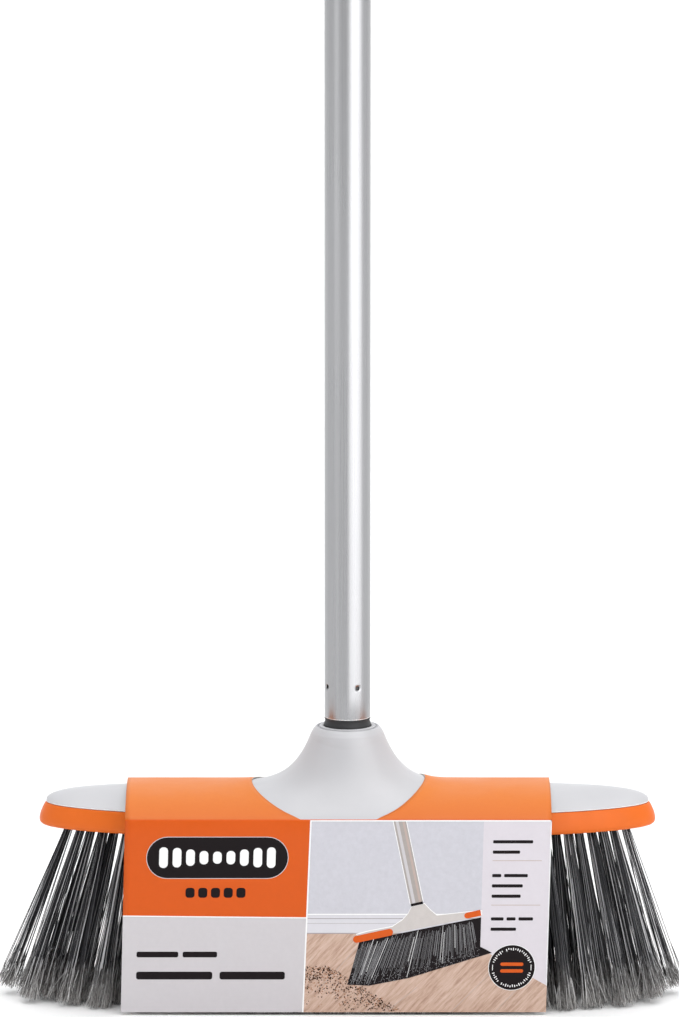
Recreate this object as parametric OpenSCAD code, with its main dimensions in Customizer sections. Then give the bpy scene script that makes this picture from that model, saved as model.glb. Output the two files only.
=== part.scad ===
// Upright push broom: a moulded head with rubber bumpers and six rows of bristle tufts,
// an aluminium handle that screws into the head's neck, and the card sleeve it is sold in.
// Millimetres. +Z is up, the bristle tips stand on z = 0, and the front is at -Y.

/* [Head] */
// Length of the head over the bumpers
head_length = 342; // [300:1:380]
// Depth of the head, front to back, at its middle
head_depth = 90; // [88:1:92]
// Height of the head's underside above the floor
underside_z = 97.7; // [90:0.1:110]
// Height of the band that the bumpers cover
band_h = 13.2; // [12:0.1:14]
// Rise of the crown above the band
crown_rise = 8.6; // [7:0.1:8.8]
// How far the band leans in at its top, at the head's ends
end_lean = 3.8; // [2:0.1:5]
// Wall of the moulded cover
wall = 2.4; // [2:0.1:3]

/* [Neck] */
// Height of the neck's rim above the underside
neck_rise = 55.8; // [54.5:0.1:58]
// Radius of the neck where its rounded rim ends
neck_r = 20.7; // [20:0.1:22]
// Distance over which the neck's flare fades by 63 %
flare_fade = 11.2; // [10.6:0.1:11.4]

/* [Bumpers] */
// Length that each bumper covers, measured from the head's end
bumper_reach = 92; // [70:1:110]
// Thickness of the rubber
bumper_t = 2.6; // [2:0.1:3]

/* [Bristles] */
// Spacing of the tufts along a row
tuft_pitch = 12.8; // [12:0.1:13]
// Radius of a tuft hole
tuft_hole_r = 2.25; // [2:0.05:2.3]
// Depth of a tuft hole
tuft_hole_depth = 8.2; // [7:0.1:8.4]
// Free length of a bristle
bristle_length = 98.5; // [90:0.1:110]
// Angle at which the tufts at the head's ends splay outwards
end_splay = 19; // [10:1:20]
// Angle at which the tufts of the outer rows splay to the front and back
row_splay = 6.2; // [4:0.1:6.3]

/* [Handle] */
// Outside diameter of the tube
tube_d = 25.4; // [25:0.1:25.6]
// Wall of the tube
tube_wall = 1; // [0.8:0.1:1.2]
// Length of the tube
tube_length = 1150; // [900:10:1300]
// Pitch of the screw thread
thread_pitch = 5.08; // [5:0.01:5.2]
// Outside radius of the screw thread
thread_r = 9.5; // [9.3:0.05:9.6]
// Number of thread turns in mesh
thread_turns = 4.5; // [3:0.5:4.5]
// Radius of the hanging hole
hang_hole_r = 5; // [4:0.5:6]

/* [Sleeve] */
// Width of the card sleeve
sleeve_w = 234.5; // [200:0.5:240]
// Depth of the sleeve, front to back, over the card
sleeve_depth = 97.2; // [97.2:0.2:100]
// Thickness of the card
card_t = 0.6; // [0.5:0.1:0.8]
// Sideways place of the sleeve's middle
sleeve_x = -5; // [-6:0.1:0]

/* [Hidden] */
$fn = 64;

// Head
half_l = head_length / 2;
half_d = head_depth / 2;
front_lean = 1.5;
band_top_z = underside_z + band_h;
rim_z = underside_z + neck_rise;
ring_points = 72;
crown_rings = 16;
mouth_r = 13.9;
seat_z = rim_z - 3.9;
boss_r = 13.5;
boss_top_z = seat_z - 0.8;
top_plate_z = seat_z - 3.3;
boss_floor_z = underside_z + 22.5;
socket_mouth_r = 10.6;
socket_mouth_h = 1.1;
skirt_gap = 3.2;
block_gap = 0.25;
block_h = 9.2;

// Handle
tube_r = tube_d / 2;
collar_h = 8.2;
tube_z = seat_z + collar_h + 0.2;
tube_top_z = tube_z + tube_length;
thread_l = thread_turns * thread_pitch;
thread_top_z = boss_top_z;
thread_depth = 1.6;
thread_gap = 0.4;
insert_neck_r = 9.4;
plug_r = tube_r - tube_wall - 0.05;
punch_r = 1.25;
punch_above_end = 18;
punch_turns = [27, 117, 207, 297];

// Bristles: where each row lies between the head's middle line (0) and its edge (1)
row_share = [-1, -0.6, -0.2, 0.2, 0.6, 1];
row_margin = 10.5;
tuft_r = 2.1;
anchor_w = 3.9;
anchor_h = 1.9;
anchor_t = 0.4;

// Sleeve: its folds lie a little below the top of the band, and its top arches over the crown
fold_drop = 1.45;
arch_rise = crown_rise + 2.3;
arch_steps = 8;
sleeve_clear_z = 1.5;
sleeve_skew = -2.8;
neck_hole_half_w = 48;
neck_hole_half_d = 53;

// ---------- shared functions ----------

function smooth(s) = let (c = min(1, max(0, s))) c * c * (3 - 2 * c);

// Half depth of the head at a place along it
function depth_at(x, a, b) = b * sqrt(max(0, 1 - (x / a) * (x / a)));

// A point of the band's outer outline, drawn in by lean at the ends and less at the front
function band_point(t, lean, inset) =
    [(half_l - lean - inset) * cos(t), (half_d - lean * front_lean / end_lean - inset) * sin(t)];

// Height of the crown over the band, from 0 at its edge to crown_rise along its ridge
function crown_height(x, y) =
    let (a = half_l - end_lean, b = half_d - front_lean)
    let (along = min(1, abs(x) / a), across = min(1, abs(y) / max(0.001, depth_at(x, a, b))))
    crown_rise * pow(max(0, 1 - pow(along, 8)), 0.42) * (1 - pow(across, 1.9));

// Height that the neck's flare adds to the crown
function flare_height(x, y) =
    let (r = norm([x, y]), b = half_d - front_lean, a = half_l - end_lean)
    let (across = min(1, abs(y) / max(0.001, depth_at(x, a, b))))
    let (fade = (1 - 0.9 * smooth((r - 30) / 12)) * (1 - pow(across, 4)))
    let (full = rim_z - 5.8 - band_top_z - crown_rise)
    full * exp(-(r - neck_r) / flare_fade) * fade;

function cover_z(x, y) = band_top_z + crown_height(x, y) + flare_height(x, y);

// One ring of the crown: a circle round the neck at s = 0 and the band's edge at s = 1
function crown_ring(s, drop, inset) =
    let (a = neck_r + (half_l - end_lean - neck_r) * pow(s, 1.7))
    let (b = neck_r + (half_d - front_lean - neck_r) * s)
    [for (i = [0 : ring_points - 1])
        let (t = 360 * i / ring_points, x = a * cos(t), y = b * sin(t))
        [(a - inset) * cos(t), (b - inset) * sin(t), cover_z(x, y) - drop]];

function circle_ring(r, z) =
    [for (i = [0 : ring_points - 1]) [r * cos(360 * i / ring_points), r * sin(360 * i / ring_points), z]];

function band_ring(lean, inset, z) =
    [for (i = [0 : ring_points - 1]) concat(band_point(360 * i / ring_points, lean, inset), z)];

// Faces of a closed stack of rings, whose last ring joins its first
function loop_faces(rings, points) =
    [for (j = [0 : rings - 1], i = [0 : points - 1])
        let (n = (j + 1) % rings, k = (i + 1) % points)
        [j * points + i, j * points + k, n * points + k, n * points + i]];

// The same faces as triangles, so that none of them has to be flat
function triangles(faces) = [for (f = faces) each [[f[0], f[1], f[2]], [f[0], f[2], f[3]]]];

function flatten(lists) = [for (l = lists) each l];

// ---------- tufts ----------

// Even rows have a tuft at each half pitch, and odd rows at each whole one
function tuft_xs(row) =
    let (odd = row % 2, last = row == 3 ? 12 : 11)
    [for (i = [-last - 1 + odd : last]) (i + (odd ? 0 : 0.5)) * tuft_pitch];

function tuft_y(row, x) = row_share[row] * (depth_at(x, half_l, half_d) - row_margin);

function tuft_tilt(x, y) =
    [row_splay * y / (half_d - row_margin), end_splay * sign(x) * pow(abs(x) / (12 * tuft_pitch), 3)];

// Puts its children in a tuft's own frame, at the mouth of its hole, with -Z along the bristles
module at_tufts(row) {
    for (x = tuft_xs(row)) {
        y = tuft_y(row, x);
        tilt = tuft_tilt(x, y);
        translate([x, y, underside_z]) rotate([tilt[0], -tilt[1], 0]) children();
    }
}

module bristle_row(row) {
    color("#3a3a3e")
    intersection() {
        at_tufts(row)
            translate([0, 0, -bristle_length])
                cylinder(r = tuft_r, h = bristle_length + tuft_hole_depth - anchor_h - 0.8, $fn = 8);
        translate([0, 0, underside_z / 2 + 10])
            cube([head_length + 80, head_depth + 40, underside_z + 20], center = true);
    }
}

module anchor_row(row) {
    color("#b8b4a8")
    at_tufts(row)
        translate([0, 0, tuft_hole_depth - anchor_h / 2 - 0.2])
            cube([anchor_w, anchor_t, anchor_h], center = true);
}

// ---------- head ----------

module brush_block() {
    color("#d9dadd")
    difference() {
        translate([0, 0, underside_z])
            linear_extrude(block_h)
                polygon([for (i = [0 : ring_points - 1])
                    band_point(360 * i / ring_points, end_lean, bumper_t + wall + block_gap)]);
        for (row = [0 : 5])
            at_tufts(row)
                translate([0, 0, -2]) cylinder(r = tuft_hole_r, h = tuft_hole_depth + 2);
    }
}

// The cover's skin: mouth, rim, flare and crown outside, then the skirt and the same way back inside
module cover_skin() {
    outer_rim = [
        circle_ring(12, top_plate_z), circle_ring(12, seat_z), circle_ring(mouth_r, seat_z),
        circle_ring(mouth_r, rim_z - 1), circle_ring(mouth_r + 1, rim_z), circle_ring(neck_r - 4.4, rim_z),
        circle_ring(neck_r - 2.4, rim_z - 1.2), circle_ring(neck_r - 1, rim_z - 3.3)
    ];
    outer = [for (j = [0 : crown_rings]) crown_ring(j / crown_rings, 0, 0)];
    skirt = [
        band_ring(end_lean, bumper_t, band_top_z - 0.8),
        band_ring(end_lean, bumper_t, underside_z),
        band_ring(end_lean, bumper_t + wall, underside_z)
    ];
    inner = [for (j = [crown_rings : -1 : 1]) crown_ring(j / crown_rings, wall * 1.3, bumper_t + wall)];
    inner_top = [circle_ring(neck_r - wall - 1.6, top_plate_z)];
    rings = concat(outer_rim, outer, skirt, inner, inner_top);
    polyhedron(flatten(rings), triangles(loop_faces(len(rings), ring_points)));
}

// The skirt between the two bumpers, which comes out flush with them
module middle_skirt() {
    intersection() {
        translate([0, 0, underside_z])
            linear_extrude(band_h - 0.4)
                difference() {
                    polygon([for (i = [0 : ring_points - 1]) band_point(360 * i / ring_points, end_lean, 0)]);
                    polygon([for (i = [0 : ring_points - 1])
                        band_point(360 * i / ring_points, end_lean, bumper_t + wall / 2)]);
                }
        cube([2 * (half_l - bumper_reach - skirt_gap), head_depth, 3 * underside_z], center = true);
    }
}

module head_cover() {
    color("#dcdde0") {
        difference() {
            union() {
                cover_skin();
                middle_skirt();
                translate([0, 0, boss_floor_z - 4]) cylinder(r = boss_r, h = boss_top_z - boss_floor_z + 4);
            }
            translate([0, 0, thread_top_z + 0.01 - thread_l - 3])
                thread_solid(thread_r + thread_gap, thread_l + 3, thread_gap);
            translate([0, 0, boss_top_z - socket_mouth_h]) cylinder(r = socket_mouth_r, h = 2 * socket_mouth_h);
        }
    }
}

// One bumper: a band swept round the head's end, with its lower edge rounded
module bumper(side) {
    turn = acos((half_l - bumper_reach) / half_l);
    steps = 36;
    // Each point of the section: lean, inset and height above the underside
    section = [
        [end_lean, 0.1, band_h - 0.35], [end_lean * 0.55, 0, band_h * 0.72], [end_lean * 0.15, 0, band_h * 0.45],
        [0, 0, band_h * 0.28], [0, 0.35, band_h * 0.12], [0, 1.5, 0.2], [0, 2.6, 0],
        [end_lean, bumper_t - 0.15, 0], [end_lean, bumper_t - 0.15, band_h - 1.15]
    ];
    n = len(section);
    rings = [for (j = [0 : steps]) let (t = -turn + 2 * turn * j / steps)
        [for (p = section) concat(band_point(t, p[0], p[1]), underside_z + p[2])]];
    sides = [for (j = [0 : steps - 1], i = [0 : n - 1])
        let (k = (i + 1) % n) [j * n + i, j * n + k, (j + 1) * n + k, (j + 1) * n + i]];
    ends = [[for (i = [n - 1 : -1 : 0]) i], [for (i = [0 : n - 1]) steps * n + i]];
    color("#f0742a")
    rotate(side > 0 ? 0 : 180)
        polyhedron(flatten(rings), concat(triangles(sides), ends));
}

// ---------- handle ----------

// A rod with a right-hand trapezoidal thread: its section turns once a pitch
module thread_solid(r, length, widen) {
    crest = 0.26 + 2 * widen * 0.87 / thread_pitch;
    flank = 0.18;
    root = 1 - crest - 2 * flank;
    function profile(s) =
        s < root ? 0 : s < root + flank ? (s - root) / flank : s < root + flank + crest ? 1 : (1 - s) / flank;
    points = 24;
    section = [for (i = [0 : points - 1])
        let (s = i / points, shifted = s - crest / 2 - flank)
        let (q = r - thread_depth * (1 - profile(shifted - floor(shifted))))
        [q * cos(360 * s), q * sin(360 * s)]];
    linear_extrude(length, twist = -360 * length / thread_pitch, slices = round(12 * length / thread_pitch), $fn = 3)
        rotate(-360 * (length - thread_l) / thread_pitch) polygon(section);
}

module punch_marks(z, depth) {
    for (turn = punch_turns)
        rotate(turn - 90) translate([tube_r + 1, 0, z]) rotate([0, -90, 0]) cylinder(r = punch_r, h = depth + 1);
}

module handle_tube() {
    color("silver")
    difference() {
        translate([0, 0, tube_z]) cylinder(r = tube_r, h = tube_length);
        translate([0, 0, tube_z - 1]) cylinder(r = tube_r - tube_wall, h = tube_length + 2);
        punch_marks(tube_z + punch_above_end, 3);
        punch_marks(tube_top_z - punch_above_end, 3);
    }
}

// The moulded plug in the tube's foot: ribbed shank, plain neck, threaded nose
module threaded_insert() {
    nose_z = thread_top_z - thread_l;
    color("#2b2b2d")
    difference() {
        union() {
            translate([0, 0, tube_z + 0.3]) cylinder(r = plug_r, h = 38);
            translate([0, 0, thread_top_z - 0.5]) cylinder(r = insert_neck_r, h = tube_z - thread_top_z + 1);
            translate([0, 0, nose_z]) thread_solid(thread_r, thread_l, 0);
            translate([0, 0, nose_z - 2]) cylinder(r1 = 6.4, r2 = thread_r - thread_depth - 0.1, h = 3);
        }
        translate([0, 0, nose_z - 3]) cylinder(r = 4.5, h = 80);
        punch_marks(tube_z + punch_above_end, 2.2);
        for (z = [8, 28])
            translate([0, 0, tube_z + z])
                difference() {
                    cylinder(r = plug_r + 1, h = 3);
                    translate([0, 0, -1]) cylinder(r = plug_r - 0.8, h = 5);
                }
    }
}

// The black ring between the tube's foot and the neck's mouth: waisted, and a little wider at its foot
module collar_ring() {
    color("#242426")
    translate([0, 0, seat_z + 0.1])
        rotate_extrude()
            polygon([
                [insert_neck_r + 0.35, 0], [12.8, 0], [13, 0.5], [13, 4], [12.5, 5.2],
                [12.35, 6.2], [12.5, 7.2], [12.75, 7.9], [12.6, collar_h], [insert_neck_r + 0.35, collar_h]
            ]);
}

// The plug in the tube's top, with a flat eye to hang the broom by
module hang_cap() {
    eye_t = 9;
    eye_z = tube_top_z + 16;
    color("#2b2b2d")
    difference() {
        union() {
            translate([0, 0, tube_top_z - 30]) cylinder(r = plug_r, h = 30.5);
            translate([0, 0, tube_top_z + 0.1]) cylinder(r = tube_r, h = 4);
            translate([0, 0, tube_top_z + 4.1]) cylinder(r1 = tube_r, r2 = tube_r - 2.2, h = 2.2);
            intersection() {
                union() {
                    translate([0, 0, tube_top_z + 3]) cylinder(r = tube_r - 0.4, h = 13);
                    translate([0, 0, eye_z]) sphere(r = tube_r - 0.4);
                }
                translate([0, 0, tube_top_z + 20]) cube([tube_d, eye_t, 36], center = true);
            }
        }
        translate([0, 0, eye_z]) rotate([90, 0, 0]) cylinder(r = hang_hole_r, h = tube_d, center = true);
        translate([0, 0, tube_top_z - 31]) cylinder(r = 8.5, h = 26);
        punch_marks(tube_top_z - punch_above_end, 2.2);
    }
}

// ---------- sleeve ----------

// Card over the head's crown, open below, with a hole for the neck in its top
module card_sleeve() {
    half_w = sleeve_depth / 2 - card_t;
    edge_z = band_top_z - fold_drop;
    function arch_z(s) = edge_z + arch_rise * (1 - pow(abs(s), 2.2));
    inner = [for (i = [-arch_steps : arch_steps])
        let (s = i / arch_steps) [s * half_w, arch_z(s)]];
    outer = [for (i = [arch_steps : -1 : -arch_steps])
        let (s = i / arch_steps) [s * (half_w + card_t), arch_z(s) + card_t]];
    color("#ee7030")
    difference() {
        union() {
            translate([sleeve_x - sleeve_w / 2, 0, 0])
                rotate([90, 0, 90]) linear_extrude(sleeve_w) polygon(concat(inner, outer));
            for (side = [-1, 1])
                translate([sleeve_x, side > 0 ? sleeve_depth / 2 : card_t - sleeve_depth / 2, 0])
                    rotate([90, 0, 0]) linear_extrude(card_t)
                        polygon([
                            [-sleeve_w / 2, edge_z], [-sleeve_w / 2 + sleeve_skew, sleeve_clear_z],
                            [sleeve_w / 2 + sleeve_skew, sleeve_clear_z], [sleeve_w / 2, edge_z],
                            [sleeve_w / 2, edge_z + 0.3], [-sleeve_w / 2, edge_z + 0.3]
                        ]);
        }
        translate([sleeve_x, 0, edge_z + 0.9])
            linear_extrude(40)
                intersection() {
                    polygon([for (i = [0 : 63])
                        [neck_hole_half_w * cos(360 * i / 64), neck_hole_half_d * sin(360 * i / 64)]]);
                    square([sleeve_w, sleeve_depth - 2 * card_t - 1], center = true);
                }
    }
}

handle_tube();
threaded_insert();
hang_cap();
collar_ring();
head_cover();
brush_block();
bumper(-1);  // left_bumper
bumper(1);  // right_bumper
bristle_row(0);  // bristle_row_1
bristle_row(1);  // bristle_row_2
bristle_row(2);  // bristle_row_3
bristle_row(3);  // bristle_row_4
bristle_row(4);  // bristle_row_5
bristle_row(5);  // bristle_row_6
anchor_row(0);  // anchor_row_1
anchor_row(1);  // anchor_row_2
anchor_row(2);  // anchor_row_3
anchor_row(3);  // anchor_row_4
anchor_row(4);  // anchor_row_5
anchor_row(5);  // anchor_row_6
card_sleeve();
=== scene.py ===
import math

import bmesh
import bpy
import numpy as np
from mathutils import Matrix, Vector


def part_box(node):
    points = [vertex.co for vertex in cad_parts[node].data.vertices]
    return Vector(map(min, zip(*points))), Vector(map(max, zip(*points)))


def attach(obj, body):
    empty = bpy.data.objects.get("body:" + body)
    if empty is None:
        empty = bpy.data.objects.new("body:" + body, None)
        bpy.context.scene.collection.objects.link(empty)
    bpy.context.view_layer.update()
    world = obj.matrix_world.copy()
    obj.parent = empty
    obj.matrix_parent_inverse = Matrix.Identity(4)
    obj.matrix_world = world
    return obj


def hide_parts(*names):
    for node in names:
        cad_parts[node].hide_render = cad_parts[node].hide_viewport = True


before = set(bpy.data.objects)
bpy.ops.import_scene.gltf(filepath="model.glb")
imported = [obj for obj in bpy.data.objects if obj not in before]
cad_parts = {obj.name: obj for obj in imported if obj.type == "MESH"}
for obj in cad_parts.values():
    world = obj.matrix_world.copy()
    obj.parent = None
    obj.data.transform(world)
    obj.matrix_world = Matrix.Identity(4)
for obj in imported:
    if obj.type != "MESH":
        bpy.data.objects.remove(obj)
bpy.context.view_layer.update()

# Shapes below are worked out in millimetres and made into metres by add_mesh().
MM = 0.001


def box_mm(node):
    """Lowest and highest corner of a CAD node, in millimetres."""
    low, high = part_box(node)
    return [c / MM for c in low], [c / MM for c in high]


# ---------- sizes of the head, as the CAD has them ----------

UNDERSIDE = box_mm("head_cover")[0][2]
RIM = box_mm("head_cover")[1][2]
HALF_L = box_mm("right_bumper")[1][0]
HALF_D = 45
BAND_H = 13.2
BAND_TOP = UNDERSIDE + BAND_H
CROWN_RISE = 8.6
# How far the band leans in from its foot to its top
END_LEAN = 3.8
FRONT_LEAN = 1.5
WALL = 2.4
NECK_R = 20.7
# The neck's flare starts at this height and dies away over this distance
FLARE_TOP = RIM - 5.8
FLARE_FADE = 11.2
# Length of the head that each bumper covers
BUMPER_REACH = 92
# Between the bumpers the cover swells out to the sleeve and dips. It does so fully up to
# SWELL_FULL from the middle, and ends at SWELL_END.
SWELL_OUT = 3.7
SWELL_DROP = 1.7
SWELL_FULL, SWELL_END = 50, 74
# The ring's seat, and the screw socket's boss below it
MOUTH_R = 13.25
SEAT_Z = RIM - 3.9
BOSS_R = 13.5
BOSS_TOP = SEAT_Z - 0.8
BOSS_FOOT = UNDERSIDE + 18.5
PLATE_Z = SEAT_Z - 3.3

# ---------- the screw and the handle ----------

PITCH = 5.08
THREAD_R = 9.5
THREAD_DEPTH = 1.6
THREAD_GAP = 0.4
THREAD_L = 4.5 * PITCH
NOSE_Z = BOSS_TOP - THREAD_L
INSERT_NECK_R = 9.4
TUBE_R = 12.7
TUBE_FOOT, TUBE_TOP = box_mm("handle_tube")[0][2], box_mm("handle_tube")[1][2]
TUBE_WALL = 1
PLUG_R = TUBE_R - 1.05
# Punch marks that stake the tube to its plugs. The wall is dished round each one.
PUNCH_TURNS = (27, 117, 207, 297)
PUNCH_HEIGHTS = (TUBE_FOOT + 18, TUBE_TOP - 18)
PUNCH_R = 1.25
PUNCH_DEPTH = 0.4
DISH_R = 3
# Height of the tube's bare cut edge
CUT_H = 0.5

# ---------- the sleeve ----------

CARD_LOW = box_mm("card_sleeve")[0]
SLEEVE_W = 234.5
SLEEVE_X = -5
SLEEVE_SKEW = -2.8
CARD_T = 0.6
CARD_FOOT = CARD_LOW[2]
CARD_FACE = -CARD_LOW[1]
FOLD_Z = BAND_TOP - 1.45 + CARD_T
ARCH_RISE = CROWN_RISE + 2.3
# Half width and half depth of the hole's ellipse
NECK_HOLE = (48, 53)
PANEL_H = FOLD_Z - CARD_FOOT


# ---------- mesh helpers ----------


def add_mesh(name, points, faces, body, materials, smooth_angle=40):
    """A piece from points in millimetres, riding on a body."""
    mesh = bpy.data.meshes.new(name)
    mesh.from_pydata([[c * MM for c in p] for p in points], [], faces)
    return add_piece(name, mesh, body, materials, smooth_angle)


def add_piece(name, mesh, body, materials, smooth_angle=40):
    """A piece from a mesh in metres."""
    mesh.validate()
    mesh.update()
    finish_faces(mesh, smooth_angle)
    for material in materials:
        mesh.materials.append(material)
    piece = bpy.data.objects.new(name, mesh)
    bpy.context.scene.collection.objects.link(piece)
    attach(piece, body)
    return piece


def finish_faces(mesh, smooth_angle):
    """Shades a mesh smooth, apart from its edges sharper than the angle."""
    mesh.polygons.foreach_set("use_smooth", [True] * len(mesh.polygons))
    mesh.set_sharp_from_angle(angle=math.radians(smooth_angle))


def skin(rings, close_ends=True, loop=False):
    """Points and faces of a stack of rings, each ring the same number of points."""
    count = len(rings[0])
    points = [p for ring in rings for p in ring]
    faces = []
    for j in range(len(rings) if loop else len(rings) - 1):
        for i in range(count):
            k = (i + 1) % count
            a, b = j * count, (j + 1) % len(rings) * count
            faces.append((a + i, a + k, b + k, b + i))
    if close_ends and not loop:
        faces.append(tuple(range(count - 1, -1, -1)))
        faces.append(tuple((len(rings) - 1) * count + i for i in range(count)))
    return points, faces


def circle(r, z, count):
    """A level ring of points round the handle's axis."""
    step = math.tau / count
    return [(r * math.cos(i * step), r * math.sin(i * step), z) for i in range(count)]


def spline(points, steps=5):
    """A smooth curve through the points (Catmull-Rom)."""
    out = []
    for i in range(len(points) - 1):
        p0 = points[max(0, i - 1)]
        p1, p2 = points[i], points[i + 1]
        p3 = points[min(len(points) - 1, i + 2)]
        for k in range(steps):
            t = k / steps
            out.append([
                b + 0.5 * t * (c - a + t * (2 * a - 5 * b + 4 * c - d + t * (3 * b - a - 3 * c + d)))
                for a, b, c, d in zip(p0, p1, p2, p3)
            ])
    out.append(list(points[-1]))
    return out


def smoothstep(low, high, value):
    """0 up to low, 1 from high on, and a smooth rise between them."""
    t = min(1, max(0, (value - low) / (high - low)))
    return t * t * (3 - 2 * t)


def thread_radius(angle, z, radius, widen):
    """Radius of the screw thread's surface at a turn angle in radians and a height."""
    crest = 0.26 + 2 * widen * 0.87 / PITCH
    flank = 0.18
    root = 1 - crest - 2 * flank
    s = angle / math.tau - (z - NOSE_Z) / PITCH
    u = 1 - (s + crest / 2 + flank) % 1
    if u < root:
        height = 0
    elif u < root + flank:
        height = smoothstep(0, 1, (u - root) / flank)
    elif u < root + flank + crest:
        height = 1
    else:
        height = smoothstep(0, 1, (1 - u) / flank)
    return radius - THREAD_DEPTH * (1 - height)


def thread_ring(z, count, radius, widen=0, share=1):
    """A level ring of the thread's surface. A share under 1 fades the thread towards its root."""
    root = radius - THREAD_DEPTH
    ring = []
    for i in range(count):
        t = math.tau * i / count
        r = root + (thread_radius(t, z, radius, widen) - root) * share
        ring.append((r * math.cos(t), r * math.sin(t), z))
    return ring


# ---------- materials ----------


def set_inputs(node, values):
    """Sets a node's own values by the names of its sockets."""
    for key, value in values.items():
        node.inputs[key].default_value = value


class Nodes:
    """A Principled material with small helpers for its nodes."""

    def __init__(self, name, roughness=0.5, metallic=0.0, specular=0.5):
        self.material = bpy.data.materials.new(name)
        self.material.use_nodes = True
        self.tree = self.material.node_tree
        self.shader = self.tree.nodes["Principled BSDF"]
        set_inputs(self.shader, {
            "Roughness": roughness, "Metallic": metallic, "Specular IOR Level": specular,
        })
        self.position = self.add("ShaderNodeTexCoord").outputs["Object"]

    def add(self, kind, inputs=None, **settings):
        node = self.tree.nodes.new(kind)
        for key, value in settings.items():
            setattr(node, key, value)
        set_inputs(node, inputs or {})
        return node

    def link(self, source, target):
        self.tree.links.new(source, target)

    def height(self):
        """The upward coordinate, in metres."""
        node = self.add("ShaderNodeSeparateXYZ")
        self.link(self.position, node.inputs["Vector"])
        return node.outputs["Z"]

    def stretch(self, x, y, z):
        """Object coordinates scaled along each axis."""
        node = self.add("ShaderNodeMapping", {"Scale": (x, y, z)})
        self.link(self.position, node.inputs["Vector"])
        return node.outputs["Vector"]

    def noise(self, scale, detail=3.0, rough=0.55, vector=None):
        node = self.add("ShaderNodeTexNoise", {"Scale": scale, "Detail": detail, "Roughness": rough})
        self.link(vector or self.position, node.inputs["Vector"])
        return node.outputs["Fac"]

    def ramp(self, source, stops):
        """Colours at places from 0 to 1, blended between them."""
        node = self.add("ShaderNodeValToRGB")
        elements = node.color_ramp.elements
        while len(elements) < len(stops):
            elements.new(0.5)
        for element, (place, colour) in zip(elements, stops):
            element.position = place
            element.color = (*colour, 1)
        self.link(source, node.inputs["Fac"])
        return node.outputs["Color"]

    def span(self, source, low, high, from_low=0.0, from_high=1.0):
        """Maps a value from one range to another."""
        ends = {"From Min": from_low, "From Max": from_high, "To Min": low, "To Max": high}
        node = self.add("ShaderNodeMapRange", ends)
        self.link(source, node.inputs["Value"])
        return node.outputs["Result"]

    def maths(self, operation, a, b):
        node = self.add("ShaderNodeMath", operation=operation)
        for socket, value in zip(node.inputs, (a, b)):
            if isinstance(value, (int, float)):
                socket.default_value = value
            else:
                self.link(value, socket)
        return node.outputs["Value"]

    def mix(self, factor, a, b):
        node = self.add("ShaderNodeMix", data_type="RGBA")
        sockets = {s.identifier: s for s in node.inputs}
        self.link(factor, sockets["Factor_Float"])
        for key, value in (("A_Color", a), ("B_Color", b)):
            if isinstance(value, tuple):
                sockets[key].default_value = (*value, 1)
            else:
                self.link(value, sockets[key])
        return next(o for o in node.outputs if o.identifier == "Result_Color")

    def bump(self, source, depth_mm, strength=1.0):
        node = self.add("ShaderNodeBump", {"Strength": strength, "Distance": depth_mm * MM})
        self.link(source, node.inputs["Height"])
        self.link(node.outputs["Normal"], self.shader.inputs["Normal"])

    def colour(self, source):
        self.link(source, self.shader.inputs["Base Color"])

    def roughness(self, source):
        self.link(source, self.shader.inputs["Roughness"])

    def worn_edges(self):
        """1 on sharp outside edges and 0 elsewhere, broken up by noise."""
        point = self.add("ShaderNodeNewGeometry").outputs["Pointiness"]
        edge = self.span(point, 0.0, 1.0, 0.52, 0.62)
        return self.maths("MULTIPLY", edge, self.span(self.noise(180), 0.2, 1.0, 0.35, 0.65))


def tint(colour, factor):
    """A colour made darker, or lighter where the factor is over 1."""
    return tuple(min(1, c * factor) for c in colour)


def moulded_plastic(name, colour, roughness, grain_mm=0.012, wear=1.25):
    """Moulded plastic: cloudy colour, fine moulded grain, rubbed edges and faint scuffs."""
    n = Nodes(name, roughness)
    cloud = n.ramp(n.noise(22, 4), [(0.3, tint(colour, 0.965)), (0.7, tint(colour, 1.03))])
    n.colour(n.mix(n.worn_edges(), cloud, tint(colour, wear)))
    scuff = n.noise(60, 6, 0.7, n.stretch(1, 3, 0.6))
    n.roughness(n.span(scuff, roughness - 0.06, roughness + 0.1, 0.35, 0.7))
    n.bump(n.noise(2600, 2), grain_mm, 0.35)
    return n.material


def rubber(name, colour, roughness=0.5):
    """Soft overmoulded rubber: a matt skin with faint bloom and tiny pits."""
    n = Nodes(name, roughness, specular=0.25)
    cloud = n.ramp(n.noise(35, 5), [(0.3, tint(colour, 0.94)), (0.72, tint(colour, 1.05))])
    n.colour(n.mix(n.worn_edges(), cloud, tint(colour, 1.15)))
    n.roughness(n.span(n.noise(90, 4), roughness - 0.08, roughness + 0.1, 0.3, 0.7))
    n.bump(n.noise(1500, 3), 0.02, 0.4)
    set_inputs(n.shader, {"Sheen Weight": 0.03})
    return n.material


def drawn_aluminium(name):
    """Drawn and clear-anodised tube: fine lines along it, cloudy gloss and a few rubbed marks."""
    n = Nodes(name, 0.28, metallic=1.0)
    lines = n.noise(900, 4, 0.6, n.stretch(1, 1, 0.004))
    cloud = n.noise(14, 3, 0.5, n.stretch(1, 1, 0.25))
    base = n.ramp(lines, [(0.25, (0.32, 0.32, 0.329)), (0.75, (0.37, 0.37, 0.377))])
    n.colour(n.mix(n.span(cloud, 0.0, 0.35, 0.35, 0.7), base, (0.31, 0.31, 0.321)))
    n.roughness(n.maths("ADD", n.span(lines, -0.03, 0.04), n.span(cloud, 0.25, 0.31, 0.3, 0.7)))
    n.bump(lines, 0.004, 0.35)
    return n.material


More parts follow.
